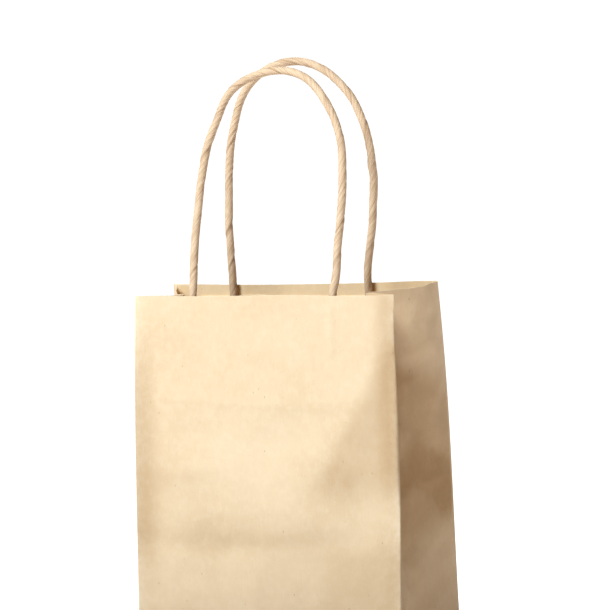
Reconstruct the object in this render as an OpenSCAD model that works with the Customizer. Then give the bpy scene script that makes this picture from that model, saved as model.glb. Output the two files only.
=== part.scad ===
// Kraft paper gift bag with two twisted paper cord handles.
// X runs along the width, -Y is the front, +Z is up. The origin is under the middle of the bottom.
// The paper body is split along its creases, and each cord where it leaves the bag and bends.

/* [Bag] */
// Width of the front and back panels
bag_width = 150; // [110:1:300]
// Depth of the bottom from front to back
bag_depth = 80; // [56:1:130]
// Length of a panel from its bottom crease to its rim
bag_height = 210; // [150:1:400]
// Depth of the open mouth as a share of the depth of the bottom
mouth_share = 0.65; // [0.45:0.01:0.9]
// Thickness of the bag paper
paper = 0.2; // [0.15:0.01:0.3]

/* [Side gussets] */
// How far the front half of a gusset folds inwards at the rim
valley_depth = 19; // [8:1:24]
// How far the rear half of a gusset stands out past the panels at the rim
ridge_height = 4; // [1:0.5:8]

/* [Bottom] */
// How far the front and back bottom flaps overlap
flap_overlap = 24; // [12:1:40]
// How far each side tuck reaches in from the side
tuck_reach = 26; // [12:1:36]

/* [Handles] */
// Diameter of the twisted cord
cord_diameter = 4; // [3:0.1:5]
// Distance between the two legs of a handle, between centres
handle_spacing = 80; // [60:1:100]
// Height of a handle loop above its bend
handle_rise = 110; // [80:1:160]
// How far each leg bows outwards
leg_bow = 2; // [0:0.5:5]
// Lean of the front handle towards the back, from upright
front_lean = 18; // [8:1:20]
// Lean of the back handle away from the mouth, from upright
back_lean = 5; // [0:1:12]

/* [Handle patches] */
// Width of a handle patch as a share of the width of the bag
patch_share = 0.8; // [0.7:0.01:0.82]
// Height of a handle patch
patch_height = 50; // [36:1:70]
// Distance of a patch's top edge below the rim
patch_drop = 5; // [3:0.5:12]
// Length of cord glued into a patch
buried_cord = 28; // [15:1:32]
// Width of the glued lap that closes the paper tube, as a share of the width of the bag
seam_share = 0.08; // [0.05:0.005:0.085]

/* [Hidden] */

kraft = [0.86, 0.74, 0.56];
kraft_shade = [0.72, 0.58, 0.42];
kraft_inside = [0.83, 0.70, 0.52];
cord_kraft = [0.80, 0.64, 0.44];

// Free space that lets each panel turn about its bottom crease
crease_gap = 0.6;
// Free space beside every other crease
fold_gap = 0.3;
// Free space around a cord inside its patch
cord_gap = 0.05;
// Run over which the front flap steps up onto the back flap
flap_step = 1.4;
// Height of the first bend of a cord above the rim, and the way from there to the second bend
root_rise = 1.5;
bend_length = 6;
// Free space between two pieces of cord that bend against each other
bend_gap = 0.5;
// Exponent that squares off the top of a handle loop a little
arch_power = 2.15;
// Share of a handle's rise that its legs take
leg_share = 0.38;
// Facets of the cord
loop_sides = 10;
leg_steps = 7;
arch_steps = 24;
dome_steps = 3;

cord_radius = cord_diameter / 2;
patch_width = bag_width * patch_share;
seam_width = bag_width * seam_share;
half_width = bag_width / 2;
half_depth = bag_depth / 2;
half_mouth = half_depth * mouth_share;
panel_lean = asin((half_depth - half_mouth) / bag_height);
rim_z = bag_height * cos(panel_lean);

// Where a cord runs, measured inwards from a panel's outer face
cord_inset = 2 * paper + cord_radius;

// Creases of a gusset as [x, y], at the rim and on the bottom
panel_gap = paper + fold_gap + 0.1;
rim_front = [half_width - paper / 2, -half_mouth + panel_gap];
rim_valley = [half_width - valley_depth, -half_mouth + 0.42 * half_mouth];
rim_ridge = [half_width + ridge_height, 0.16 * half_mouth];
rim_rear = [half_width - paper / 2, half_mouth - panel_gap];
base_front = [half_width - paper / 2, -half_depth + panel_gap];
base_valley = [half_width - paper / 2, -0.4 * half_depth];
base_ridge = [half_width - paper / 2, 0.4 * half_depth];
base_rear = [half_width - paper / 2, half_depth - panel_gap];

// [y, z] of a point given by its inward distance and its height on the front panel
function wall_point(inwards, up) = [
    -half_depth + inwards * cos(panel_lean) + up * sin(panel_lean),
    -inwards * sin(panel_lean) + up * cos(panel_lean)
];

// Moves a panel's own frame, with +Y inwards and +Z up the panel, onto the front of the bag
module on_front() {
    translate([0, -half_depth, 0])
        rotate([-panel_lean, 0, 0])
            children();
}

module on_back() {
    mirror([0, 1, 0])
        on_front()
            children();
}

// ---- panels ----

module panel() {
    translate([-half_width, 0, crease_gap])
        cube([bag_width, paper, bag_height - crease_gap]);
}

module front_panel() {
    color(kraft)
        on_front()
            panel();
}

module back_panel() {
    color(kraft)
        on_back()
            panel();
}

// The end of the paper tube, glued inside the back panel
module side_seam_lap() {
    color(kraft_inside)
        on_back()
            translate([-half_width + paper, paper, crease_gap])
                cube([seam_width, paper, bag_height - crease_gap]);
}

// ---- gussets ----

function towards(from, to, distance) = from + (to - from) * distance / norm(to - from);

// One flat strip of a gusset, between two creases that run from the bottom to the rim
module gusset_strip(base_a, base_b, rim_a, rim_b) {
    run = (rim_b - rim_a) / norm(rim_b - rim_a);
    rim_skin = paper * [-run[1], run[0]];
    base_skin = paper * [-1, 0];
    low = 3 * paper;
    corners = [
        [towards(base_a, base_b, fold_gap), low, [0, 0]],
        [towards(base_b, base_a, fold_gap), low, [0, 0]],
        [towards(rim_b, rim_a, fold_gap), rim_z, [0, 0]],
        [towards(rim_a, rim_b, fold_gap), rim_z, [0, 0]],
        [towards(base_a, base_b, fold_gap), low, base_skin],
        [towards(base_b, base_a, fold_gap), low, base_skin],
        [towards(rim_b, rim_a, fold_gap), rim_z, rim_skin],
        [towards(rim_a, rim_b, fold_gap), rim_z, rim_skin],
    ];
    polyhedron(
        points = [for (c = corners) [c[0][0] + c[2][0], c[0][1] + c[2][1], c[1]]],
        faces = [
            [0, 2, 1], [0, 3, 2],
            [4, 5, 6], [4, 6, 7],
            [0, 1, 5], [0, 5, 4],
            [1, 2, 6], [1, 6, 5],
            [2, 3, 7], [2, 7, 6],
            [3, 0, 4], [3, 4, 7],
        ]
    );
}

module gusset_front_fold() {
    gusset_strip(base_front, base_valley, rim_front, rim_valley);
}

module gusset_middle() {
    gusset_strip(base_valley, base_ridge, rim_valley, rim_ridge);
}

module gusset_rear() {
    gusset_strip(base_ridge, base_rear, rim_ridge, rim_rear);
}

module right_gusset_front_fold() {
    color(kraft_shade)
        gusset_front_fold();
}

module right_gusset_middle() {
    color(kraft_shade)
        gusset_middle();
}

module right_gusset_rear() {
    color(kraft_shade)
        gusset_rear();
}

module left_gusset_front_fold() {
    color(kraft_shade)
        mirror([1, 0, 0])
            gusset_front_fold();
}

module left_gusset_middle() {
    color(kraft_shade)
        mirror([1, 0, 0])
            gusset_middle();
}

module left_gusset_rear() {
    color(kraft_shade)
        mirror([1, 0, 0])
            gusset_rear();
}

// ---- block bottom ----

// Extrudes a [y, z] outline along the whole width of the bottom
module across(outline) {
    rotate([90, 0, 90])
        linear_extrude(bag_width, center = true)
            polygon(outline);
}

module bottom_flap_back() {
    edge = half_depth - crease_gap;
    lap = flap_overlap / 2;
    color(kraft)
        across([[-lap, 0], [edge, 0], [edge, paper], [-lap, paper]]);
}

module bottom_flap_front() {
    edge = half_depth - crease_gap;
    lap = flap_overlap / 2;
    top = -lap - fold_gap;
    foot = top - flap_step;
    color(kraft)
        across([
            [-edge, 0],
            [foot, 0],
            [top, paper],
            [lap, paper],
            [lap, 2 * paper],
            [top - fold_gap, 2 * paper],
            [foot - fold_gap, paper],
            [-edge, paper],
        ]);
}

// The end of a gusset, folded in over the flaps with its sides at forty-five degrees
module bottom_tuck() {
    outer = half_depth - crease_gap;
    inner = outer - tuck_reach;
    far = half_width - tuck_reach;
    translate([0, 0, 2 * paper])
        linear_extrude(paper)
            polygon([[half_width, -outer], [half_width, outer], [far, inner], [far, -inner]]);
}

module bottom_tuck_right() {
    color(kraft_inside)
        bottom_tuck();
}

module bottom_tuck_left() {
    color(kraft_inside)
        mirror([1, 0, 0])
            bottom_tuck();
}

// ---- handle patches ----

module patch_backing() {
    translate([-patch_width / 2, paper, bag_height - patch_drop - patch_height])
        cube([patch_width, paper, patch_height]);
}

function arc(x, radius, from, to) = [
    for (i = [0:12])
        let (a = from + (to - from) * i / 12)
            [x + radius * cos(a), cord_inset + radius * sin(a)]
];

// The outer ply, which lies on the backing and rises over the two cord ends
module patch_cover() {
    side = patch_width / 2;
    leg = handle_spacing / 2;
    inner = cord_radius + cord_gap;
    outer = inner + paper;
    low = 2 * paper;
    high = 3 * paper;
    translate([0, 0, bag_height - patch_drop - patch_height])
        linear_extrude(patch_height)
            polygon(concat(
                [[-side, high], [-leg - outer, high]],
                arc(-leg, outer, 180, 0),
                [[-leg + outer, high], [leg - outer, high]],
                arc(leg, outer, 180, 0),
                [[leg + outer, high], [side, high], [side, low], [leg + inner, low]],
                arc(leg, inner, 0, 180),
                [[leg - inner, low], [-leg + inner, low]],
                arc(-leg, inner, 0, 180),
                [[-leg - inner, low], [-side, low]]
            ));
}

module front_patch_backing() {
    color(kraft_inside)
        on_front()
            patch_backing();
}

module front_patch_cover() {
    color(kraft_inside)
        on_front()
            patch_cover();
}

module back_patch_backing() {
    color(kraft_inside)
        on_back()
            patch_backing();
}

module back_patch_cover() {
    color(kraft_inside)
        on_back()
            patch_cover();
}

// ---- cords ----

// Repeats something at both legs of a handle
module at_legs() {
    for (side = [-1, 1])
        translate([side * handle_spacing / 2, 0, 0])
            children();
}

// The glued ends of a cord, with domed tops below its first bend
module cord_ends() {
    top = bag_height + root_rise - 2 * cord_radius - bend_gap;
    bottom = bag_height - patch_drop - buried_cord;
    at_legs()
        translate([0, cord_inset, bottom]) {
            cylinder(h = top - bottom, r = cord_radius, $fn = 48);
            translate([0, 0, top - bottom])
                sphere(r = cord_radius, $fn = 48);
        }
}

// The short pieces between the first bend, at the origin, and the second bend
module cord_bends() {
    straight = bend_length - 2 * cord_radius - bend_gap;
    at_legs() {
        sphere(r = cord_radius, $fn = 48);
        cylinder(h = straight, r = cord_radius, $fn = 48);
        translate([0, 0, straight])
            sphere(r = cord_radius, $fn = 48);
    }
}

// Centre of the loop at angle a of its arch, above legs that bow outwards
function arch_point(a) =
    let (wide = handle_spacing / 2 + leg_bow)
    let (tall = handle_rise * (1 - leg_share))
    let (reach = pow(
        pow(abs(cos(a)) / wide, arch_power) + pow(abs(sin(a)) / tall, arch_power),
        -1 / arch_power
    ))
        [reach * cos(a), handle_rise * leg_share + reach * sin(a)];

function leg_point(side, share) = [
    side * (handle_spacing / 2 + leg_bow * sin(90 * share)),
    handle_rise * leg_share * share
];

// The whole loop as [x, z], from the right leg over the top to the left leg
loop_route = concat(
    [for (i = [0:leg_steps - 1]) leg_point(1, i / leg_steps)],
    [for (i = [0:arch_steps]) arch_point(180 * i / arch_steps)],
    [for (i = [leg_steps - 1:-1:0]) leg_point(-1, i / leg_steps)]
);

function heading(route, i) =
    let (d = route[min(i + 1, len(route) - 1)] - route[max(i - 1, 0)])
        d / norm(d);

// A ring of the cord across its heading in the XZ plane
function ring(centre, along, radius) = [
    for (k = [0:loop_sides - 1])
        let (a = 360 * k / loop_sides)
            [
                centre[0] + radius * cos(a) * along[1],
                radius * sin(a),
                centre[1] - radius * cos(a) * along[0]
            ]
];

// Rings that round off an end, where way is -1 before the start and 1 after the end
function dome(centre, along, way) =
    let (order = way < 0 ? [dome_steps:-1:1] : [1:dome_steps])
        [
            for (i = order)
                let (a = 84 * i / dome_steps)
                    ring(centre + way * cord_radius * sin(a) * along, along, cord_radius * cos(a))
        ];

module cord_loop() {
    last = len(loop_route) - 1;
    rings = concat(
        dome(loop_route[0], heading(loop_route, 0), -1),
        [for (i = [0:last]) ring(loop_route[i], heading(loop_route, i), cord_radius)],
        dome(loop_route[last], heading(loop_route, last), 1)
    );
    sides = loop_sides;
    polyhedron(
        points = [for (r = rings) for (p = r) p],
        faces = concat(
            [[for (k = [0:sides - 1]) k]],
            [
                for (i = [0:len(rings) - 2])
                    for (k = [0:sides - 1])
                        for (half = [0, 1])
                            let (a = i * sides + k)
                            let (b = i * sides + (k + 1) % sides)
                                half == 0 ? [a, a + sides, b] : [b, a + sides, b + sides]
            ],
            [[for (k = [sides - 1:-1:0]) (len(rings) - 1) * sides + k]]
        )
    );
}

// Puts a handle's bends and loop on the front, where lean is the loop's lean towards the back
first_bend = wall_point(cord_inset, bag_height + root_rise);

module at_first_bend(lean) {
    translate([0, first_bend[0], first_bend[1]])
        rotate([-(panel_lean + lean) / 2, 0, 0])
            children();
}

module at_second_bend(lean) {
    middle = (panel_lean + lean) / 2;
    second_bend = first_bend + bend_length * [sin(middle), cos(middle)];
    translate([0, second_bend[0], second_bend[1]])
        rotate([-lean, 0, 0])
            children();
}

module front_cord_ends() {
    color(cord_kraft)
        on_front()
            cord_ends();
}

module front_cord_bends() {
    color(cord_kraft)
        at_first_bend(front_lean)
            cord_bends();
}

module front_cord_loop() {
    color(cord_kraft)
        at_second_bend(front_lean)
            cord_loop();
}

module back_cord_ends() {
    color(cord_kraft)
        on_back()
            cord_ends();
}

module back_cord_bends() {
    color(cord_kraft)
        mirror([0, 1, 0])
            at_first_bend(-back_lean)
                cord_bends();
}

module back_cord_loop() {
    color(cord_kraft)
        mirror([0, 1, 0])
            at_second_bend(-back_lean)
                cord_loop();
}

bottom_flap_back();
bottom_flap_front();
bottom_tuck_right();
bottom_tuck_left();
right_gusset_front_fold();
right_gusset_middle();
right_gusset_rear();
left_gusset_front_fold();
left_gusset_middle();
left_gusset_rear();
front_panel();
front_patch_backing();
front_patch_cover();
front_cord_ends();
front_cord_bends();
front_cord_loop();
back_panel();
side_seam_lap();
back_patch_backing();
back_patch_cover();
back_cord_ends();
back_cord_bends();
back_cord_loop();
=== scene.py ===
import math

import bpy
import numpy as np
from mathutils import Matrix, Vector


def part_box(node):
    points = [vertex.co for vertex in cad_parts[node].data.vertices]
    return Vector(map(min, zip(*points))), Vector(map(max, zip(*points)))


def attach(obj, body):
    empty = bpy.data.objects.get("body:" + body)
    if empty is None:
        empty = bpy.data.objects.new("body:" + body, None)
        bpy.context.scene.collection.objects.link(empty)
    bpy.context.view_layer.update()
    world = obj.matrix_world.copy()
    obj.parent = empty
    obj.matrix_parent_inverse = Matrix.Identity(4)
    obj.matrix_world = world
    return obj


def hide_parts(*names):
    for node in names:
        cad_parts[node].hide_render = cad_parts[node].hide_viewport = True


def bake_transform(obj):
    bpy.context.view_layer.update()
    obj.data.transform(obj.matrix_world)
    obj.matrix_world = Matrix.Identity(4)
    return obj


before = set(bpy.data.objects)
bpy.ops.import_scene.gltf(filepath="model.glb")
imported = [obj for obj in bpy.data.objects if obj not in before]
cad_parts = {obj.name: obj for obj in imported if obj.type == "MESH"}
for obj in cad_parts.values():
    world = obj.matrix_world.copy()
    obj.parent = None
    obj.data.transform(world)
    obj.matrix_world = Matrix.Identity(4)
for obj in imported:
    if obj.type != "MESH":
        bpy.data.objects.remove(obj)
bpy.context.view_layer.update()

mm = 0.001

studio = {
    "target": (0.0, 0.0, 0.170),
    "azimuth": 25.9,        # degrees round from the front, towards the right side
    "elevation": 7.15,
    "roll": -3.02,
    "distance": 2.0,
    "aimRight": 0.0103,     # where the middle of the view lies beside the target
    "aimUp": 0.0311,
    "lens": 227.4,
    "world": (1.0, 0.80, 0.66),
    "worldStrength": 0.14,
    "keyPlace": (-0.32, -0.70, 1.16),
    "keySize": 0.42,
    "keyPower": 20.2,
    "keyColour": (0.915, 1.02, 1.08),
    "topPlace": (0.62, 0.10, 1.75),
    "topSize": 0.8,
    "topPower": 2.5,
    "topColour": (1.0, 0.90, 0.80),
    "floorColour": (0.58, 0.57, 0.56),
    "floorGlow": 1.0,      # how bright the floor glows far from the bag, painted light
    "glowFrom": 0.10,
    "glowTo": 0.27,
    "floorSize": 40.0,
    "floorDrop": 0.0004,
    "clipEnd": 200,
}


def setCamera():
    a, e, roll = (math.radians(studio[k]) for k in ("azimuth", "elevation", "roll"))
    back = Vector((math.sin(a) * math.cos(e), -math.cos(a) * math.cos(e), math.sin(e)))
    flatRight = (-back).cross(Vector((0, 0, 1))).normalized()
    flatUp = flatRight.cross(-back)
    right = math.cos(roll) * flatRight + math.sin(roll) * flatUp
    up = -math.sin(roll) * flatRight + math.cos(roll) * flatUp
    target = Vector(studio["target"])
    place = target + back * studio["distance"]
    aim = target + right * studio["aimRight"] + up * studio["aimUp"]
    ahead = (aim - place).normalized()
    right = (right - ahead * right.dot(ahead)).normalized()
    up = right.cross(ahead)
    lens = bpy.data.cameras.new("camera")
    lens.lens = studio["lens"]
    lens.clip_end = studio["clipEnd"]
    camera = bpy.data.objects.new("camera", lens)
    turn = Matrix((right, up, -ahead)).transposed().to_4x4()
    camera.matrix_world = Matrix.Translation(place) @ turn
    bpy.context.scene.collection.objects.link(camera)
    bpy.context.scene.camera = camera


def addLight(name):
    light = bpy.data.lights.new(name + "_light", "AREA")
    light.size = studio[name + "Size"]
    light.energy = studio[name + "Power"]
    light.color = studio[name + "Colour"]
    lamp = bpy.data.objects.new(name + "_light", light)
    lamp.location = studio[name + "Place"]
    towards = Vector(studio["target"]) - Vector(studio[name + "Place"])
    lamp.rotation_euler = towards.to_track_quat("-Z", "Y").to_euler()
    bpy.context.scene.collection.objects.link(lamp)


setCamera()
addLight("key")
addLight("top")
world = bpy.data.worlds.new("studio")
world.use_nodes = True
nodes, links = world.node_tree.nodes, world.node_tree.links
tint = nodes["Background"]
tint.inputs["Color"].default_value = (*studio["world"], 1)
tint.inputs["Strength"].default_value = studio["worldStrength"]
# the camera sees plain white past the floor, and the bag is lit by the tint
white = nodes.new("ShaderNodeBackground")
white.inputs["Color"].default_value = (1, 1, 1, 1)
seen = nodes.new("ShaderNodeLightPath").outputs["Is Camera Ray"]
either = nodes.new("ShaderNodeMixShader")
for source, socket in ((seen, 0), (tint.outputs[0], 1), (white.outputs[0], 2)):
    links.new(source, either.inputs[socket])
links.new(either.outputs[0], nodes["World Output"].inputs["Surface"])
bpy.context.scene.world = world
bpy.context.scene.view_settings.view_transform = "Standard"
print("camera and lights are set")


class Wire:
    # One socket of a finish; each operator adds the Math node that works it out
    def __init__(self, finish, socket):
        self.finish = finish
        self.socket = socket

    def maths(self, operation, first, second):
        return self.finish.node("Math", {"operation": operation}, {0: first, 1: second})

    def __add__(self, other):
        return self.maths("ADD", self, other)

    def __radd__(self, other):
        return self.maths("ADD", other, self)

    def __sub__(self, other):
        return self.maths("SUBTRACT", self, other)

    def __rsub__(self, other):
        return self.maths("SUBTRACT", other, self)

    def __mul__(self, other):
        return self.maths("MULTIPLY", self, other)

    def __rmul__(self, other):
        return self.maths("MULTIPLY", other, self)


class Finish:
    # A material built from expressions on its wires
    def __init__(self, name):
        self.material = bpy.data.materials.new(name)
        self.material.use_nodes = True
        self.tree = self.material.node_tree
        self.tree.nodes.clear()

    def node(self, kind, settings=None, values=None, output=0):
        made = self.tree.nodes.new("ShaderNode" + kind)
        for key, value in (settings or {}).items():
            setattr(made, key, value)
        for key, value in (values or {}).items():
            if isinstance(value, Wire):
                self.tree.links.new(value.socket, made.inputs[key])
            else:
                made.inputs[key].default_value = value
        return Wire(self, made.outputs[output]) if made.outputs else None

    def noise(self, place, scale, detail, roughness=0.5):
        values = {"Vector": place, "Scale": scale, "Detail": detail, "Roughness": roughness}
        return self.node("TexNoise", None, values, "Fac")

    def stretched(self, place, scale, turn=(0, 0, 0)):
        return self.node("Mapping", None, {"Vector": place, "Scale": scale, "Rotation": turn})

    def ramp(self, value, low, high):
        # 0 below low and 1 above high, smooth between them
        values = {"Value": value, "From Min": low, "From Max": high}
        return self.node("MapRange", {"interpolation_type": "SMOOTHSTEP"}, values)

    def mixed(self, share, first, second, way="MIX"):
        # colours go through the Mix node's colour sockets, which are its inputs 6 and 7
        settings = {"data_type": "RGBA", "blend_type": way}
        return self.node("Mix", settings, {0: share, 6: first, 7: second}, 2)

    def attribute(self, name, output="Fac"):
        return self.node("Attribute", {"attribute_name": name}, None, output)

    def close(self, colour, roughness, height, look):
        depth = {"Distance": look["bumpDistance"], "Strength": look["bumpStrength"]}
        bump = self.node("Bump", None, {"Height": height, **depth})
        values = {
            "Base Color": colour,
            "Roughness": roughness,
            "Normal": bump,
            "Specular IOR Level": look["specular"],
        }
        shader = self.node("BsdfPrincipled", None, values)
        self.node("OutputMaterial", None, {"Surface": shader})
        return self.material


paperLook = {
    "base": (0.720, 0.548, 0.362, 1),
    "cloud": (0.675, 0.500, 0.315, 1),
    "fibre": (0.775, 0.620, 0.435, 1),
    "speck": (0.38, 0.24, 0.125, 1),
    "worn": (0.85, 0.735, 0.575, 1),
    "paintedShade": (0.60, 0.50, 0.38, 1),     # what paper under painted shade is multiplied by
    "inner": (1.27, 1.28, 1.22, 1),     # and the face inside the bag, painted brighter in place of light through the paper
    "cloudScale": 22,
    "cloudShare": 0.75,
    "mottleScale": 260,
    "mottleShare": 0.42,
    "fibreScale": 1500,
    "fibreStretch": (1, 1, 0.09),
    "fibreShare": 0.42,
    "crossedScale": 1150,
    "crossedStretch": (1, 1, 0.16),
    "crossedTurn": (0.5, 0.35, 0),
    "crossedShare": 0.30,
    "fleckScale": 300.0,
    "fleckStretch": (1, 1, 0.42),
    "fleckTurn": (0.4, 0.6, 0),
    "fleckSpread": 210,     # scale of the pattern that keeps the flecks rare
    "fleckShare": 0.60,
    "dustScale": 1250,
    "dustShare": 0.50,
    "wornShare": 0.75,
    "pulpScale": 2300,
    "cockleScale": 70,
    "roughness": 0.74,
    "specular": 0.28,
    "bumpDistance": 0.00022,
    "bumpStrength": 0.42,
}


def paperFinish(name, shade=(1.0, 1.0, 1.0)):
    # kraft paper: broad clouds, mottled pulp, fibres along the height, stray dark fibres, pale
    # worn folds, painted shade where the paper turns from the light and a brighter painted inside
    # face; the bump is pulp, fibres and a slow cockle
    f = Finish(name)
    look = paperLook
    place = f.node("TexCoord", None, None, "Object")
    base, cloudy, fibreLight, speckDark, worn = (
        tuple(c * s for c, s in zip(look[k], (*shade, 1)))
        for k in ("base", "cloud", "fibre", "speck", "worn")
    )
    cloud = f.ramp(f.noise(place, look["cloudScale"], 3), 0.36, 0.66)
    mottle = f.noise(place, look["mottleScale"], 5, 0.62)
    alongHeight = f.stretched(place, look["fibreStretch"])
    fibres = f.noise(alongHeight, look["fibreScale"], 4, 0.6)
    tilted = f.stretched(place, look["crossedStretch"], look["crossedTurn"])
    crossed = f.noise(tilted, look["crossedScale"], 3, 0.6)
    pulp = f.noise(place, look["pulpScale"], 3, 0.6)
    colour = f.mixed(cloud * look["cloudShare"], base, cloudy)
    colour = f.mixed(f.ramp(mottle, 0.38, 0.74) * look["mottleShare"], colour, fibreLight)
    colour = f.mixed(f.ramp(fibres, 0.50, 0.78) * look["fibreShare"], colour, fibreLight)
    colour = f.mixed(f.ramp(crossed, 0.56, 0.80) * look["crossedShare"], colour, cloudy)
    flecked = f.stretched(place, look["fleckStretch"], look["fleckTurn"])
    spots = {"Vector": flecked, "Scale": look["fleckScale"]}
    cells = f.node("TexVoronoi", None, spots, "Distance")
    rare = f.ramp(f.noise(place, look["fleckSpread"], 1), 0.55, 0.60)
    fleck = (1 - f.ramp(cells, 0.04, 0.11)) * rare
    colour = f.mixed(fleck * look["fleckShare"], colour, speckDark)
    dust = f.ramp(f.noise(place, look["dustScale"], 1), 0.76, 0.80)
    colour = f.mixed(dust * look["dustShare"], colour, speckDark)
    wearAndGrooveShade = f.attribute("wearAndGrooveShade") * (0.45 + 0.55 * f.ramp(mottle, 0.35, 0.65))
    colour = f.mixed(wearAndGrooveShade * look["wornShare"], colour, worn)
    # painted shade: paper that turns from the light is multiplied darker, a little unevenly
    paintedShade = f.attribute("paintedShade") * (0.86 + 0.28 * f.ramp(cloud, 0.2, 0.8))
    colour = f.mixed(paintedShade, colour, look["paintedShade"], "MULTIPLY")
    # painted light: the inside face is multiplied brighter, in place of light through the paper
    colour = f.mixed(f.attribute("inner"), colour, look["inner"], "MULTIPLY")
    roughness = look["roughness"] + 0.12 * mottle - 0.06 * fibres
    cockle = f.noise(place, look["cockleScale"], 2)
    height = 0.5 * pulp + 0.55 * fibres + 0.9 * mottle + 1.6 * cockle
    return f.close(colour, roughness, height, look)


cordLook = {
    "base": (0.650, 0.468, 0.306, 1),
    "dark": (0.350, 0.205, 0.108, 1),
    "light": (0.760, 0.575, 0.405, 1),
    "strandStretch": (3.2, 3.2, 0.4),
    "threadStretch": (6.0, 6.0, 0.8),
    "mottleScale": 240,
    "pulpScale": 1500,
    "roughness": 0.68,
    "specular": 0.30,
    "bumpDistance": 0.00030,
    "bumpStrength": 0.50,
}


def cordFinish(name):
    # twisted paper: the pattern follows the twist, which each cord stores as an attribute
    f = Finish(name)
    look = cordLook
    twist = f.attribute("twist", "Vector")
    place = f.node("TexCoord", None, None, "Object")
    strands = f.noise(f.stretched(twist, look["strandStretch"]), 1.6, 2, 0.5)
    threads = f.noise(f.stretched(twist, look["threadStretch"]), 1.7, 2, 0.5)
    mottle = f.noise(place, look["mottleScale"], 2, 0.5)
    pulp = f.noise(place, look["pulpScale"], 2)
    colour = f.mixed(0.35 + 0.65 * f.ramp(strands, 0.34, 0.56), look["dark"], look["base"])
    colour = f.mixed(f.ramp(threads, 0.50, 0.72) * 0.55, colour, look["light"])
    colour = f.mixed(f.ramp(mottle, 0.45, 0.75) * 0.30, colour, look["light"])
    # painted shade in the grooves of the wrap and between the plies
    colour = f.mixed(f.attribute("wearAndGrooveShade") * 0.95, colour, look["dark"])
    roughness = look["roughness"] + 0.14 * mottle
    height = 0.9 * strands + 0.5 * threads + 0.04 * pulp
    return f.close(colour, roughness, height, look)


def floorFinish():
    # a pale floor that glows brighter away from the bag: painted light
    f = Finish("pale_floor")
    place = f.node("TexCoord", None, None, "Object")
    far = f.node("VectorMath", {"operation": "LENGTH"}, {0: place}, "Value")
    glow = f.ramp(far, studio["glowFrom"], studio["glowTo"]) * studio["floorGlow"]
    white = (1, 1, 1, 1)
    values = {
        "Base Color": (*studio["floorColour"], 1),
        "Roughness": 0.9,
        "Specular IOR Level": 0.0,
        "Emission Color": f.mixed(glow, (0, 0, 0, 1), white),
        "Emission Strength": 1.0,
    }
    shader = f.node("BsdfPrincipled", None, values)
    f.node("OutputMaterial", None, {"Surface": shader})
    return f.material


panelFinish = paperFinish("kraft_panels")
# a darker, warmer copy of the paper for the gussets: painted shade for the sides turned from the
# key light
gussetFinish = paperFinish("kraft_gussets_painted_shade", (0.93, 0.88, 0.83))
insideFinish = paperFinish("kraft_inside", (1.0, 0.99, 0.94))
twistFinish = cordFinish("twisted_cord")

half = studio["floorSize"] / 2
floorMesh = bpy.data.meshes.new("floor")
corners = [(-half, -half), (half, -half), (half, half), (-half, half)]
floorMesh.from_pydata([(*corner, -studio["floorDrop"]) for corner in corners], [], [(0, 1, 2, 3)])
floorMesh.materials.append(floorFinish())
floor = bpy.data.objects.new("floor", floorMesh)
bpy.context.scene.collection.objects.link(floor)
print("finishes and floor are made")


def soft(t):
    # 3t^2 - 2t^3, from 0 to 1
    t = np.clip(t, 0, 1)
    return t * t * (3 - 2 * t)


def hump(t):
    # exp(-t^2)
    return np.exp(-(t**2))


def unit(vectors):
    return vectors / np.linalg.norm(vectors, axis=-1, keepdims=True)


def gridNormals(points):
    # across x up, where the differences run along the columns and up the rows
    across = np.gradient(points, axis=1)
    upwards = np.gradient(points, axis=0)
    return unit(np.cross(across, upwards))


sharpAngle = 50     # degrees, past which an edge of a piece stays sharp


def makePiece(name, points, faces, finish, attributes):
    mesh = bpy.data.meshes.new(name)
    mesh.from_pydata(points.tolist(), [], faces)
    for key, values in attributes.items():
        kind, field = ("FLOAT", "value") if values.ndim == 1 else ("FLOAT_VECTOR", "vector")
        made = mesh.attributes.new(key, kind, "POINT")
        made.data.foreach_set(field, values.astype(np.float32).ravel())
    mesh.materials.append(finish)
    mesh.validate()
    mesh.shade_smooth()
    mesh.set_sharp_from_angle(angle=math.radians(sharpAngle))
    piece = bpy.data.objects.new(name, mesh)
    bpy.context.scene.collection.objects.link(piece)
    return piece


def sheetFaces(rows, columns):
    # outer and inner grid of a thin sheet, joined along its four edges
    index = np.arange(rows * columns).reshape(rows, columns)
    inner = index + rows * columns
    a, b, c, d = index[:-1, :-1], index[:-1, 1:], index[1:, 1:], index[1:, :-1]
    outside = np.stack([a, b, c, d], -1).reshape(-1, 4)
    inside = outside[:, ::-1] + rows * columns
    edges = (
        (index[0, 1:], index[0, :-1], inner[0, :-1], inner[0, 1:]),
        (index[-1, :-1], index[-1, 1:], inner[-1, 1:], inner[-1, :-1]),
        (index[:-1, 0], index[1:, 0], inner[1:, 0], inner[:-1, 0]),
        (index[1:, -1], index[:-1, -1], inner[:-1, -1], inner[1:, -1]),
    )
    rims = [np.stack(edge, -1) for edge in edges]
    return np.concatenate([outside, inside, *rims]).tolist()


def paperSheet(name, outer, wearAndGrooveShade, finish, normals=None, paintedShade=None):
    # a sheet of paper under an outer face: inner = outer - normal * thickness
    normals = gridNormals(outer) if normals is None else normals
    inner = outer - normals * bag["paper"]
    rows, columns = outer.shape[:2]
    points = np.concatenate([outer.reshape(-1, 3), inner.reshape(-1, 3)])
    looks = {
        "wearAndGrooveShade": np.concatenate([wearAndGrooveShade.ravel(), wearAndGrooveShade.ravel()]),
        # the inside face, which its finish paints brighter
        "inner": np.repeat((0.0, 1.0), wearAndGrooveShade.size),
    }
    # painted shade, which the inner face shows in part
    if paintedShade is not None:
        looks["paintedShade"] = np.concatenate([paintedShade.ravel(), paintedShadeAmounts["throughPaper"] * paintedShade.ravel()])
    piece = makePiece(name, points, sheetFaces(rows, columns), finish, looks)
    return piece


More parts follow.
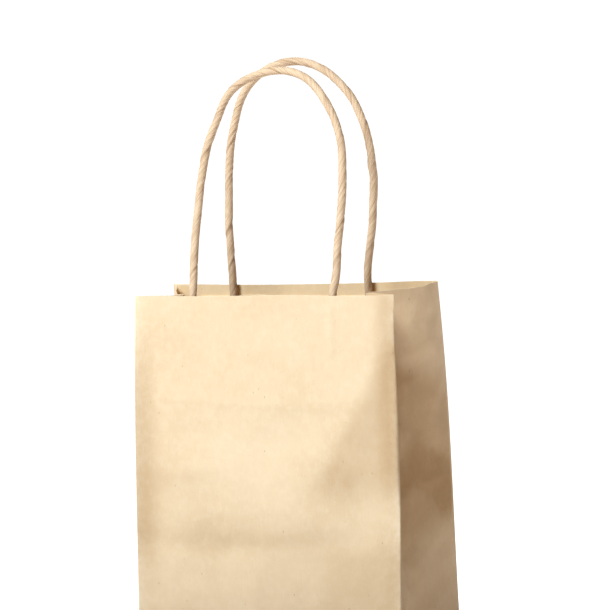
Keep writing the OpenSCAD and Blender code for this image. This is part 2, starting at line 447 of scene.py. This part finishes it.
bag = {
    "halfDepth": 0.040,
    "mouth": 0.026,             # half the depth of the mouth
    "paper": 0.0002,
    "foldRadius": 0.0006,       # of the fold round the bottom
    "tuckHeight": 0.0004,       # where the sides fold in above the bottom flaps
    "rows": 170,
    "panelColumns": 122,
    "stripColumns": (15, 12, 9),    # of the gusset strips, from front to rear
    "bendColumns": (9, 9, 9, 21, 9, 9, 21, 9),      # of each fold, from the front left one
    "cuts": (7, 13),            # columns into the right and left ridges where the gusset is cut
    "gussetBend": 0.025,        # how far in from a panel its own lean reaches
    "valley": (0.0560, -0.0151),    # gusset folds at the rim
    "ridge": (0.0812, -0.0012),
    "leftValley": (0.0515, -0.0180),
    "leftRidge": (0.0640, 0.0045),
    "baseValley": -0.016,
    "baseRidge": 0.016,
    "cornerReach": 0.0010,      # length of paper that each fold takes on either side
    "valleyReach": 0.0018,
    "ridgeReach": 0.0080,
    "softFold": 0.0026,
    # sideways drift of the rim corners, and bow of the folds below them
    "drift": {"FL": 0.0026, "FR": 0.0009, "BL": -0.0011, "BR": 0.0024},
    "bow": {"FL": -0.0010, "FR": 0.0014, "BL": -0.0010, "BR": 0.0016},
    "rearRightLift": 0.0016,
    "leftSag": 0.0022,          # of the left gusset's rim
    "rimWave": 0.32,            # unevenness of the rim, in millimetres
    "foldWear": (0.8, 0.9, 0.35, 0, 0.8, 0.7, 0, 0.3),      # how pale each fold is worn
    "foldWearColumns": 5.0,
    "bottomWear": 0.5,
}
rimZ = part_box("front_panel")[1].z
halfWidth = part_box("front_panel")[1].x
lean = math.atan((bag["halfDepth"] - bag["mouth"]) / rimZ)

# soft dents pressed into the paper, as ((x, z) of both ends, width, height) in millimetres,
# where a positive height stands out
frontDents = (
    ((-38, 116), (-22, 90), 5.0, -0.45),
    ((36, 121), (19, 99), 5.0, -0.45),
    ((-64, 80), (66, 83), 4.5, -0.75),
    ((44, 136), (70, 118), 4.0, -0.40),
    ((30, 112), (62, 126), 6.0, 0.30),
    ((-70, 40), (70, 41), 3.0, -0.35),
    ((-66, 153), (-10, 155), 3.0, 0.16),
    ((-8, 152), (60, 156), 3.0, 0.14),
    ((52, 168), (66, 142), 5.0, 0.22),
    ((-58, 132), (-44, 160), 7.0, 0.20),
)
backDents = (
    ((-60, 82), (66, 79), 4.5, -0.60),
    ((-70, 41), (70, 40), 3.0, -0.30),
    ((-40, 140), (10, 118), 6.0, 0.35),
    ((20, 100), (58, 122), 5.0, -0.40),
    ((-62, 154), (62, 153), 3.0, 0.16),
)
# the same on a side, as (distance from the front fold, z)
sideDents = (
    ((-4, 79), (84, 90), 13.0, -3.00),
    ((-4, 152), (56, 144), 13.0, -2.20),
    ((60, 118), (84, 122), 7.0, -0.90),
    ((50, 108), (80, 110), 1.6, 0.45),
    ((34, 128), (72, 104), 6.0, -0.80),
    ((8, 150), (40, 118), 7.0, 0.60),
    ((6, 40), (40, 41), 5.0, -0.80),
    ((2, 2), (38, 40), 2.5, -0.60),
    ((78, 2), (42, 40), 2.5, -0.60),
    ((40, 40), (40, 78), 3.0, 0.70),
    ((60, 150), (78, 176), 5.0, 0.50),
)


# how far each feature of the paper stands out, in millimetres
relief = {
    "belly": 1.7,
    "funnel": {"front": 1.7, "back": 1.02},
    "patch": 0.20,
    "cords": {"front": 0.50, "back": 0.30},
    "crumple": 0.55,
    "fineCrumple": 0.10,
    "edge": -0.16,
    "sideCrumple": 1.5,
    "fineSideCrumple": 0.22,
    "rearStrip": 1.3,
    "leftCrumple": 0.6,
}


def dented(across, z, dents):
    # sum of height * exp(-distance / width) round each line, with soft ends
    total = np.zeros(np.broadcast(across, z).shape)
    for (x0, z0), (x1, z1), width, height in dents:
        start, run = np.array((x0, z0)) * mm, np.array((x1 - x0, z1 - z0)) * mm
        t = ((across - start[0]) * run[0] + (z - start[1]) * run[1]) / (run @ run)
        near = np.clip(t, 0, 1)
        aside = np.hypot(across - start[0] - near * run[0], z - start[1] - near * run[1])
        taper = soft(np.minimum(t, 1 - t) / 0.25 + 0.4)
        falling = np.exp(1 - np.sqrt(1 + (aside / (width * mm)) ** 2))
        total = total + height * mm * taper * falling
    return total


def crumpled(across, z, seed, shortest, longest, height, waves=16):
    # a sum of seeded plane waves whose heights grow with their length
    draws = np.random.default_rng(seed)
    total = np.zeros(np.broadcast(across, z).shape)
    for length, heading, phase in zip(
        draws.uniform(shortest, longest, waves),
        draws.uniform(0, math.pi, waves),
        draws.uniform(0, 2 * math.pi, waves),
    ):
        way = 2 * math.pi / (length * mm)
        wave = np.sin(way * (across * math.cos(heading) + z * math.sin(heading)) + phase)
        total = total + (length / longest) * (wave - 0.5 * np.abs(wave))
    return total * height * mm / math.sqrt(waves)


def panelRelief(back, x, z):
    # how far a panel stands out: belly, patch and cords that show through, dents and crumples
    side = "back" if back else "front"
    fade = soft((halfWidth - np.abs(x)) / (10 * mm)) * soft((z - 0.001) / (12 * mm))
    patchArea = soft((z - 0.146) / 0.012)
    belly = relief["belly"] * mm * np.sin(math.pi * np.clip(z / 0.160, 0, 1)) ** 2
    # the middle stands proud inside a funnel that narrows downwards; outside it the paper falls
    # away by 1 - exp(-distance / run)
    beside = 0.81 * (np.abs(x + 0.006) - 0.023 - 0.72 * (z - 0.097))
    beside = 0.5 * (beside + np.sqrt(beside**2 + 0.005**2))
    swell = -relief["funnel"][side] * mm * (1 - np.exp(-beside / 0.016))
    patch = soft((z - 0.1505 + 0.045 * x) / 0.003) * soft((0.0625 - np.abs(x)) / 0.004)
    patch = relief["patch"] * mm * patch
    legs = hump((x - 0.040) / 0.0019) + 0.35 * hump((x + 0.040) / 0.0021)
    legs = legs * soft((z - 0.175) / 0.005) * soft((0.2065 - z) / 0.004)
    legs = relief["cords"][side] * mm * legs
    dents = dented(x, z, backDents if back else frontDents)
    seed = 21 if back else 11
    crumple = crumpled(x, z, seed, 24, 70, relief["crumple"])
    crumple = crumple + crumpled(x, z, seed + 1, 9, 22, relief["fineCrumple"])
    stiff = 1 - 0.65 * patchArea
    edge = relief["edge"] * mm * hump((halfWidth - np.abs(x) - 0.0035) / 0.0018)
    return fade * (belly + swell + dents + crumple * stiff) + patch + legs + edge


# how dark the painted shade is in each place, 0 to 1
paintedShadeAmounts = {
    "wedge": 0.46,
    "edge": 0.52,
    "left": 0.40,
    "leftShadeSpot": 0.24,
    "rightShadeSpot": 0.12,
    "low": 0.30,
    "mark": 0.20,
    "nearRim": 0.08,
    "nearBottom": 0.20,
    "back": 0.5,            # share of the front's that the back shows
    "throughPaper": 0.4,    # share of an outer face's that the inner face shows
    "side": 0.66,
    "sidePale": 0.30,
    "sideMark": 0.34,
    "sideTop": 0.28,
    "sideUpper": 0.16,
}


def paintedShadeFront(x, z):
    # painted shade on the front, where the paper turns from the light: a wedge that widens down
    # from the right rim corner, the right and left edges, and soft patches beside and below the
    # middle; all in millimetres
    x, z = x / mm, z / mm
    h = paintedShadeAmounts
    fall = soft((z - 96) / 24) * soft((212 - z) / 16)
    wedge = h["wedge"] * soft((x - 66 + 0.58 * (186 - z)) / 15) * fall
    edge = h["edge"] * soft((x - 60) / 11) * soft((z - 88) / 40) * soft((226 - z) / 22)
    left = h["left"] * soft((-57 - x) / 14) * soft((z - 50) / 40) * soft((205 - z) / 50)
    shadeSpots = h["leftShadeSpot"] * hump((x + 54) / 20) * hump((z - 111) / 11)
    shadeSpots = shadeSpots + h["rightShadeSpot"] * hump((x - 45) / 16) * hump((z - 118) / 10)
    low = h["low"] * soft((x - 22) / 22) * soft((86 - z) / 12) * soft((z - 36) / 22)
    mark = h["mark"] * hump((z - 83) / 5) * hump((x - 4) / 30)
    rest = h["nearRim"] * soft((x + 75) / 20) * soft((z - 150) / 40)
    rest = rest + h["nearBottom"] * soft((112 - z) / 30)
    return np.clip(wedge + edge + left + shadeSpots + low + mark + rest, 0, 1)


def paintedShadeSide(along, z):
    # painted shade on a side, where f goes from 0 at the front fold to 1: a painted shadow of the
    # front panel below a line that falls to the rear, darker along the fold mark that rises, and
    # paler again near the bottom
    f, z = along / (2 * bag["halfDepth"]), z / mm
    h = paintedShadeAmounts
    upper = soft((199 - 33 * f - z) / 20)
    lower = soft((z - 50 - 28 * f) / 20)
    pale = h["sidePale"] * hump((z - 130 - 5 * f) / 10) * soft(1 - 1.2 * f)
    mark = h["sideMark"] * hump((z - 87 - 18 * f) / 12)
    foot = (0.34 - 0.36 * f) * (1 - lower) * soft((z - 20) / 40)
    top = h["sideTop"] * soft((0.5 - f) / 0.4) * hump((z - 199) / 8)
    top = top + h["sideUpper"] * soft((192 - z) / 12)
    return np.clip(h["side"] * upper * lower - pale + mark + foot + top, 0, 1)


def wallPoint(back, x, z, inwards):
    # front: y = -(halfDepth - z tan lean) + inwards cos lean, z = z - inwards sin lean
    y = -(bag["halfDepth"] - z * math.tan(lean)) + inwards * math.cos(lean)
    return np.stack(np.broadcast_arrays(x, -y if back else y, z - inwards * math.sin(lean)), -1)


def tubePlan(high):
    # the eight folds of the tube in plan at each height, as [fold, row, xy]; high is 0 to 1
    d = bag["drift"]
    h = high**1.1
    g = high**1.7       # the gusset folds come in mostly near the rim
    front = -bag["halfDepth"] + (bag["halfDepth"] - bag["mouth"]) * high

    def fold(baseX, baseY, rimX, rimY):
        return np.stack([baseX + (rimX - baseX) * g, baseY + (rimY - baseY) * h], -1)

    def corner(x, y, drift):
        bow = bag["bow"][drift] * np.sin(math.pi * high**1.8)
        return np.stack([x + d[drift] * h + bow, y], -1)

    w = halfWidth
    return [
        corner(-w + 0 * h, front, "FL"),
        corner(w + 0 * h, front, "FR"),
        fold(w, bag["baseValley"], *bag["valley"]),
        fold(w, bag["baseRidge"], *bag["ridge"]),
        corner(w + 0 * h, -front, "BR"),
        corner(-w + 0 * h, -front, "BL"),
        fold(-w, bag["baseRidge"], -bag["leftRidge"][0], bag["leftRidge"][1]),
        fold(-w, bag["baseValley"], -bag["leftValley"][0], bag["leftValley"][1]),
    ]


def foldReaches(high):
    # paper that each fold takes; the front right one is softer between the middle and the rim
    r, v, w = (bag[k] + 0 * high[:, None] for k in ("cornerReach", "valleyReach", "ridgeReach"))
    softening = soft((high - 0.45) / 0.15) * soft((1.02 - high) / 0.12)
    softer = r + bag["softFold"] * softening[:, None]
    return [r, softer, v, w, r, r, w, v]


def roundedLoop(corners, reaches, bends, runs):
    # straight runs between rounded corners: (1-t)^2 A + 2t(1-t) P + t^2 B, where A and B lie
    # one reach before and after the corner P
    count = len(corners)
    parts, marks = [], []
    column = 0
    for k in range(count):
        before, here, after = corners[k - 1], corners[k], corners[(k + 1) % count]
        a = here + unit(before - here) * reaches[k]
        b = here + unit(after - here) * reaches[k]
        t = np.linspace(0, 1, bends[k])[:, None, None]
        parts.append((1 - t) ** 2 * a + 2 * t * (1 - t) * here + t**2 * b)
        marks.append((column, column + bends[k] - 1))
        column += bends[k]
        ahead = after + unit(here - after) * reaches[(k + 1) % count]
        s = (np.arange(1, runs[k]) / runs[k])[:, None, None]
        parts.append(b + (ahead - b) * s)
        column += runs[k] - 1
    return np.concatenate(parts).transpose(1, 0, 2), marks


def makeTube():
    # rows go up the bag and columns run round it, anticlockwise from the front left fold
    high = np.concatenate([np.linspace(0, 1 - 0.0016, bag["rows"]), [1.0]])
    bends, strips, n = bag["bendColumns"], bag["stripColumns"], bag["panelColumns"]
    runs = [n, *strips, n, *strips[::-1]]
    plan, marks = roundedLoop(tubePlan(high), foldReaches(high), bends, runs)
    level = np.zeros(1)
    flat = roundedLoop(tubePlan(level), foldReaches(level), bends, runs)[0][0]
    columns = plan.shape[1]
    index = np.arange(columns)
    onFront = index <= marks[1][1]
    onBack = (index >= marks[4][0]) & (index <= marks[5][1])
    onSide = ~(onFront | onBack)
    along = flat[:, 1] + bag["halfDepth"]           # distance from the front fold on a side
    inSide = np.minimum(along, 2 * bag["halfDepth"] - along)
    low = np.where(onSide, bag["tuckHeight"] * soft(inSide / 0.002), 0.0)
    foot = low + bag["foldRadius"]
    z = foot + high[:, None] * (rimZ - foot)
    points = np.concatenate([plan, z[..., None]], -1)
    normals = gridNormals(points)
    height = np.zeros(z.shape)
    x = points[..., 0]
    height[:, onFront] = panelRelief(False, x[:, onFront], z[:, onFront])
    height[:, onBack] = panelRelief(True, x[:, onBack], z[:, onBack])
    fade = soft(inSide / 0.010) * soft((z - 0.001) / 0.012)
    left = x < 0
    apart = along + np.where(left, 0.3, 0)      # so that the two sides differ
    crumple = crumpled(apart, z, 31, 22, 60, relief["sideCrumple"])
    crumple = crumple + crumpled(apart, z, 32, 8, 20, relief["fineSideCrumple"])
    side = dented(along, z, sideDents) + crumple
    strip = hump((along - 0.066) / 0.009) * high[:, None]
    side = side + relief["rearStrip"] * mm * strip
    leftSide = side * 0.85 + crumpled(along, z, 41, 30, 60, relief["leftCrumple"])
    height = np.where(onSide, fade * np.where(left, leftSide, side), height)
    points = points + normals * height[..., None]
    nearRim = high[:, None] ** 5
    lifted = hump(np.hypot(x - 0.079, points[..., 1] - 0.022) / 0.035)
    points[..., 2] += nearRim * bag["rearRightLift"] * lifted
    sagged = hump(np.hypot(x + 0.060, points[..., 1] - 0.002) / 0.014)
    points[..., 2] -= nearRim**2 * bag["leftSag"] * sagged
    points[..., 2] += nearRim * crumpled(index * 0.0012 + 0 * z, 0 * z, 51, 30, 90, bag["rimWave"])
    # the fold round the bottom: in by r(1 - cos b) and down by r sin b
    turn = np.linspace(90, 15, 6)[:, None] * math.pi / 180
    inward = unit(normals[0] * np.array((1, 1, 0)))
    under = points[0] - inward * (bag["foldRadius"] * (1 - np.cos(turn)))[..., None]
    under[..., 2] = foot - bag["foldRadius"] * np.sin(turn)
    points = np.concatenate([under, points])
    # worn paper: along the folds, the rim and the bottom
    distance = [np.abs(index - (a + b) / 2) for a, b in marks]
    folds = sum(
        share * hump(d / bag["foldWearColumns"]) for share, d in zip(bag["foldWear"], distance)
    )
    rows = points.shape[0]
    wearAndGrooveShade = np.tile(folds, (rows, 1))
    wearAndGrooveShade[-1] = 1.0
    bottomRows = len(turn) + 1
    wearAndGrooveShade[:bottomRows] = np.maximum(wearAndGrooveShade[:bottomRows], bag["bottomWear"])
    x, z = points[..., 0], points[..., 2]
    # painted shade on the front, the sides and, mirrored, the back
    paintedShade = np.where(onFront, paintedShadeFront(x, z), np.where(onSide, paintedShadeSide(along, z), 0))
    paintedShade = np.where(onBack, paintedShadeAmounts["back"] * paintedShadeFront(-x, z), paintedShade)
    return points, np.clip(wearAndGrooveShade, 0, 1), paintedShade, marks


tube, tubeWear, tubePaintedShade, folds = makeTube()
columns = tube.shape[1]
rightSplit, leftSplit = folds[3][0] + bag["cuts"][0], folds[6][0] + bag["cuts"][1]
tubePieces = (
    ("front_panel_paper", 0, folds[1][1], "front_wall", None, ("front_panel",)),
    (
        "right_gusset_front_paper", folds[1][1], rightSplit, "front_wall", "bag_base",
        ("right_gusset_front_fold", "right_gusset_middle"),
    ),
    (
        "right_gusset_rear_paper", rightSplit, folds[4][0], "back_wall", "bag_base",
        ("right_gusset_rear",),
    ),
    ("back_panel_paper", folds[4][0], folds[5][1], "back_wall", None, ("back_panel",)),
    (
        "left_gusset_rear_paper", folds[5][1], leftSplit, "back_wall", "bag_base",
        ("left_gusset_rear",),
    ),
    (
        "left_gusset_front_paper", leftSplit, columns, "front_wall", "bag_base",
        ("left_gusset_front_fold", "left_gusset_middle"),
    ),
)
wrapped = np.arange(columns + 1) % columns
tubeNormals = gridNormals(tube[:, np.concatenate([[columns - 1], wrapped, [1]])])[:, 1:-1]
for name, first, last, body, other, nodes in tubePieces:
    pick = wrapped[first : last + 1]
    finish, slot = (gussetFinish, "kraft_gusset") if other else (panelFinish, "kraft_paper")
    piece = paperSheet(
        name, tube[:, pick], tubeWear[:, pick], finish, tubeNormals[:, first : last + 1],
        tubePaintedShade[:, pick],
    )
    if other:
        side = -1 if body == "front_wall" else 1
        start = Vector((0, side * bag["halfDepth"], 0))
        inwards = Vector((0, -side * math.cos(lean), -math.sin(lean)))
        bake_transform(piece)
    else:
        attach(piece, body)
    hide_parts(*nodes)
print("paper tube is made")

inside = {
    "patchHalfWidth": 0.060,
    "patchHeight": 0.050,
    "patchDrop": 0.005,
    "legAt": 0.040,
    "legShift": {"front": (0.6, 0.5), "back": (0.5, -1.2)},    # of the left and right feet, mm
    "coverRise": 0.00405,      # over the cord, above the backing
    "coverWidth": 0.0030,
    "cordBottom": 0.177,
    "seamWidth": 0.012,
    "seamEdge": 0.0002,
}


def layer(back, x, z, depth):
    # a ply glued inside a panel: the panel's own relief, moved inwards by the plies before it
    return wallPoint(back, x, z, depth - panelRelief(back, x, z))


def makePatch(back):
    side = "back" if back else "front"
    body = side + "_wall"
    top = rimZ - inside["patchDrop"] * math.cos(lean)
    rows = np.linspace(top - inside["patchHeight"] * math.cos(lean), top, 64)[:, None]
    halfPatch = inside["patchHalfWidth"]
    line = np.linspace(-halfPatch, halfPatch, 161)[None, :] * (-1 if back else 1)
    left, right = (shift * mm for shift in inside["legShift"][side])
    away = np.abs(np.abs(line - np.where(line < 0, left, right)) - inside["legAt"])
    paper = bag["paper"]
    # rise over a cord: r exp(-(distance / width)^2.6)
    over = inside["coverRise"] * np.exp(-((away / inside["coverWidth"]) ** 2.6))
    over = over * soft((rows - inside["cordBottom"] + 0.007) / 0.006)
    flare = 0.55 * mm * soft((rows - top + 0.007) / 0.007) * (1 - hump(away / 0.006))
    flare = flare * (0.65 + 0.35 * np.sin(line * 95 + (1.2 if back else 0.3)))
    uneven = 0.35 * np.sin(line * 61 + 0.8)
    if back:        # cut low, apart from a little beside the left end of the cord
        uneven = 0.8 * hump((line + 0.029) / 0.008) - 1.5
    uneven = uneven * mm * soft((rows - top + 0.008) / 0.008)
    wearAndGrooveShade = np.zeros(np.broadcast(rows, line).shape)
    wearAndGrooveShade[[0, -1]] = 0.9
    wearAndGrooveShade[:, [0, -1]] = 0.6
    for name, depth in (("backing", paper), ("cover", 2 * paper)):
        rise = 0 if name == "backing" else over + flare
        face = layer(back, line, rows + uneven, depth + 0.00002 + rise)
        title = f"{side}_patch_{name}_paper"
        piece = paperSheet(title, face, wearAndGrooveShade, insideFinish)
        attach(piece, body)
        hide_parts(f"{side}_patch_{name}")


makePatch(False)
makePatch(True)

seamRows = np.linspace(0.0012, rimZ - 0.0003, 130)[:, None]
seamStart = -halfWidth + inside["seamEdge"] + inside["seamWidth"]
seamLine = np.linspace(seamStart, -halfWidth + 0.0011, 12)[None, :]
drifted = seamLine + bag["drift"]["BL"] * (seamRows / rimZ) ** 1.1
seamFace = layer(True, drifted, seamRows, bag["paper"] + 0.00002)
seamWear = np.zeros(seamFace.shape[:2])
seamWear[:, 0] = 0.8
seamWear[-1] = 0.9
seam = paperSheet("side_seam_lap_paper", seamFace, seamWear, insideFinish)
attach(seam, "back_wall")
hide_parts("side_seam_lap")

bottomFinishes = {
    "bottom_flap_back": panelFinish,
    "bottom_flap_front": panelFinish,
    "bottom_tuck_right": insideFinish,
    "bottom_tuck_left": insideFinish,
}
for name, finish in bottomFinishes.items():
    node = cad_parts[name]
    node.data.materials.clear()
    node.data.materials.append(finish)
print("seam, patches and bottom are made")

cord = {
    "radius": 0.00208,
    "inset": 0.0024,            # from the outer face of a panel
    "rootRise": 0.0015,
    "bendLength": 0.006,
    "rise": 0.110,
    "legBow": 0.002,
    "legShare": 0.38,
    "archPower": 2.15,
    "pitch": 0.0210,             # length of one turn of the twist
    "ringStep": 0.0004,
    "around": 36,
    "seam": 0.00030,            # height of the step where the wrap overlaps itself
    "groove": 0.00034,
    "smoothing": 0.0016,
    "splitPast": 0.003,         # of the foot, past the first bend
    "plies": 5,
    "furrow": 0.00013,          # depth between two plies
    "wander": 0.07,             # how far the cord strays, in millimetres
    "lean": {"front": 18, "back": -5},      # of the loop at rest, in degrees
    "seed": {"front": 3, "back": 8},
    "lift": {"front": 0.8, "back": -1.0},   # of the arch, in millimetres
    # small bends in each loop: (side, height, spread, sideways shift) in millimetres
    "bends": {
        "front": (
            (-1, 44, 30, 1.9), (-1, 101, 10, -3.2),
            (1, 0, 10, 1.2), (1, 56, 16, -0.7), (1, 98, 14, -1.6),
        ),
        "back": ((-1, 44, 26, 1.2), (-1, 98, 16, -2.6), (1, 50, 34, 1.1), (1, 104, 10, -1.7)),
    },
}


def handleRoute(back):
    # one cord from its right end to its left end: up the wall, two bends and the loop, whose
    # arch is |x/wide|^p + |h/tall|^p = 1 above its legs
    name = "back" if back else "front"
    tilt = math.radians(cord["lean"][name])
    side = 1 if back else -1
    wallUp = np.array((0, math.sin(lean), math.cos(lean)))
    rim = rimZ / math.cos(lean)
    footY = -bag["halfDepth"] + cord["inset"] * math.cos(lean)
    foot = np.array((0, footY, -cord["inset"] * math.sin(lean)))
    first = foot + wallUp * (rim + cord["rootRise"])
    middle = (lean + tilt) / 2
    second = first + cord["bendLength"] * np.array((0, math.sin(middle), math.cos(middle)))
    loopUp = np.array((0, math.sin(tilt), math.cos(tilt)))
    across = np.array((1.0, 0, 0))
    leg = inside["legAt"]
    wide = leg + cord["legBow"]
    tall = cord["rise"] * (1 - cord["legShare"]) + cord["lift"][name] * mm
    bottom = foot + wallUp * inside["cordBottom"]
    share = np.linspace(0, 1, 60)[:, None]
    up = [
        bottom + (first - bottom) * share[:-1] + across * leg,
        first + (second - first) * share[:-1] + across * leg,
        second
        + across * (leg + cord["legBow"] * np.sin(share[:-1] * math.pi / 2))
        + loopUp * cord["rise"] * cord["legShare"] * share[:-1],
    ]
    angle = np.linspace(0, math.pi, 240)[:, None]
    p = cord["archPower"]
    reach = (np.abs(np.cos(angle) / wide) ** p + np.abs(np.sin(angle) / tall) ** p) ** (-1 / p)
    arch = (
        second
        + across * reach * np.cos(angle)
        + loopUp * (cord["rise"] * cord["legShare"] + reach * np.sin(angle))
    )
    down = [part[::-1] * np.array((-1, 1, 1)) for part in up[::-1]]
    route = np.concatenate([*up, arch, *down])
    height = (route - second) @ loopUp
    for way, at, spread, shift in cord["bends"][name]:
        share = 0.5 + 0.5 * np.tanh(way * route[:, 0] / 0.008)
        bend = hump((height - at * mm) / (spread * mm)) * soft(height / 0.006 + 1)
        route[:, 0] += share * shift * mm * bend
    feet = np.where(route[:, 0] < 0, *inside["legShift"][name]) * mm
    route[:, 0] += feet * soft((0.026 - height) / 0.024)
    return route * np.array((1, -side, 1)) if back else route


def evenly(route, step):
    # the same route with points an even step apart
    keep = np.concatenate([[True], np.linalg.norm(np.diff(route, axis=0), axis=1) > 1e-7])
    route = route[keep]
    run = np.concatenate([[0], np.cumsum(np.linalg.norm(np.diff(route, axis=0), axis=1))])
    at = np.linspace(0, run[-1], int(run[-1] / step) + 1)
    return np.stack([np.interp(at, run, route[:, k]) for k in range(3)], -1), at


def smoothed(route, width):
    # a weighted mean over neighbours, exp(-(distance / width)^2), with the ends held
    reach = int(3 * width)
    weights = hump(np.arange(-reach, reach + 1) / width)
    weights = weights / weights.sum()
    padded = np.concatenate(
        [2 * route[0] - route[reach:0:-1], route, 2 * route[-1] - route[-2 : -reach - 2 : -1]]
    )
    return np.stack([np.convolve(padded[:, k], weights, "valid") for k in range(3)], -1)


def tubeFaces(rings, around, offset):
    # quads between rings, and a fan from a middle point over each end
    index = np.arange(rings * around).reshape(rings, around) + offset
    nextOne = np.roll(index, -1, axis=1)
    walls = np.stack([index[:-1], nextOne[:-1], nextOne[1:], index[1:]], -1).reshape(-1, 4)
    first, last = offset + rings * around, offset + rings * around + 1
    startFan = [(int(b), int(a), first) for a, b in zip(index[0], nextOne[0])]
    endFan = [(int(a), int(b), last) for a, b in zip(index[-1], nextOne[-1])]
    return walls.tolist() + startFan + endFan


def makeHandle(back):
    side = "back" if back else "front"
    seed = cord["seed"][side]
    route, at = evenly(handleRoute(back), cord["ringStep"])
    route = smoothed(route, cord["smoothing"] / cord["ringStep"])
    draws = np.random.default_rng(seed)
    total = at[-1]
    wander = sum(
        draws.uniform(0.4, 1.0) * np.sin(2 * math.pi * at / length + draws.uniform(0, 6.3))
        for length in (0.031, 0.047, 0.083)
    )
    along = unit(np.gradient(route, axis=0))
    outwards = unit(np.cross(along, np.array((0, 1.0, 0))))
    sideways = np.cross(outwards, along)
    stiffness = soft((at - 0.036) / 0.01) * soft((total - 0.036 - at) / 0.01)
    stray = outwards * wander[:, None] + sideways * np.roll(wander, 60)[:, None]
    route = route + stray * cord["wander"] * mm * stiffness[:, None]
    if back:        # a small kink on the right leg, where the wrap has loosened
        kink = hump((at - 0.095) / 0.0035)
        route = route + outwards * (0.45 * mm * kink)[:, None]
    angle = np.linspace(0, 2 * math.pi, cord["around"], endpoint=False)
    # angle along the wrap: a + 2 pi s / pitch, with a pitch that wanders a little
    turned = 2 * math.pi * (at + 0.0016 * wander) / cord["pitch"]
    wrap = angle[None, :] + turned[:, None]
    phase = np.mod(wrap, 2 * math.pi) / (2 * math.pi)
    depth = 0.55 + 0.45 * np.sin(at / 0.013 + seed) * np.sin(at / 0.029 + 1.7 * seed)
    step = cord["seam"] * depth[:, None] * (phase - 0.5)
    edge = hump(np.minimum(phase, 1 - phase) / 0.055) * depth[:, None]
    secondDepth = 0.5 + 0.5 * np.sin(at / 0.017 + 2.1 * seed)
    thirdDepth = 0.5 + 0.5 * np.sin(at / 0.011 + 0.7 * seed)
    second = hump((np.mod(phase + 0.37, 1) - 0.5) / 0.050) * secondDepth[:, None]
    third = hump((np.mod(phase + 0.71, 1) - 0.5) / 0.042) * thirdDepth[:, None]
    plies = np.mod(cord["plies"] * phase + 0.35 + 0.2 * wander[:, None], 1)
    furrow = hump((plies - 0.5) / 0.17) * (0.6 + 0.4 * np.sin(at / 0.019 + seed))[:, None]
    ply = 0.00003 - cord["furrow"] * furrow
    grooves = 0.8 * edge + 0.55 * second + 0.4 * third
    radius = cord["radius"] + step + ply - cord["groove"] * grooves
    radius = radius * (1 + 0.018 * np.roll(wander, 37)[:, None])
    if back:
        radius = radius * (1 + 0.09 * kink[:, None])
        # painted shade in the gap of the loosened wrap
        edge = edge + 0.5 * kink[:, None] * hump((phase - 0.5) / 0.1)
    points = (
        route[:, None]
        + outwards[:, None] * (radius * np.cos(angle))[..., None]
        + sideways[:, None] * (radius * np.sin(angle))[..., None]
    )
    # painted shade: darker along the overlapping edge of the wrap, its grooves and between the
    # plies
    wearAndGrooveShade = np.clip(0.90 * edge + 0.5 * second + 0.35 * third + 0.20 * furrow, 0, 1)
    run = np.broadcast_to(at[:, None] / 0.01, wrap.shape)
    twist = np.stack([np.cos(wrap), np.sin(wrap), run], -1)
    firstBend = rimZ / math.cos(lean) + cord["rootRise"] - inside["cordBottom"]
    split = int((firstBend + cord["splitPast"]) / cord["ringStep"])
    count = len(at)
    parts = {
        "buried_cord": [(0, split), (count - 1 - split, count - 1)],
        "twisted_loop": [(split, count - 1 - split)],
    }
    for part, spans in parts.items():
        coords, faces, grooveShades, twists = [], [], [], []
        offset = 0
        for a, b in spans:
            rings = b - a + 1
            middles = route[[a, b]]
            coords.append(np.concatenate([points[a : b + 1].reshape(-1, 3), middles]))
            grooveShades.append(np.concatenate([wearAndGrooveShade[a : b + 1].ravel(), [0, 0]]))
            twists.append(np.concatenate([twist[a : b + 1].reshape(-1, 3), np.zeros((2, 3))]))
            faces += tubeFaces(rings, cord["around"], offset)
            offset += rings * cord["around"] + 2
        attributes = {"wearAndGrooveShade": np.concatenate(grooveShades), "twist": np.concatenate(twists)}
        piece = makePiece(
            f"{side}_{part}", np.concatenate(coords), faces, twistFinish, attributes
        )
        bend = Vector(route[int(firstBend / cord["ringStep"])])
        bend.x = 0
        further = int((firstBend + cord["bendLength"]) / cord["ringStep"])
        upper = Vector(route[further])
        upper.x = 0
        if part == "buried_cord":
            heading = Vector(along[int(firstBend / cord["ringStep"])])
            heading.x = 0
            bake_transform(piece)
            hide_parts(f"{side}_cord_ends", f"{side}_cord_bends")
        else:
            heading = Vector(along[further])
            heading.x = 0
            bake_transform(piece)
            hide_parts(f"{side}_cord_loop")


makeHandle(False)
makeHandle(True)
print("handles are made")
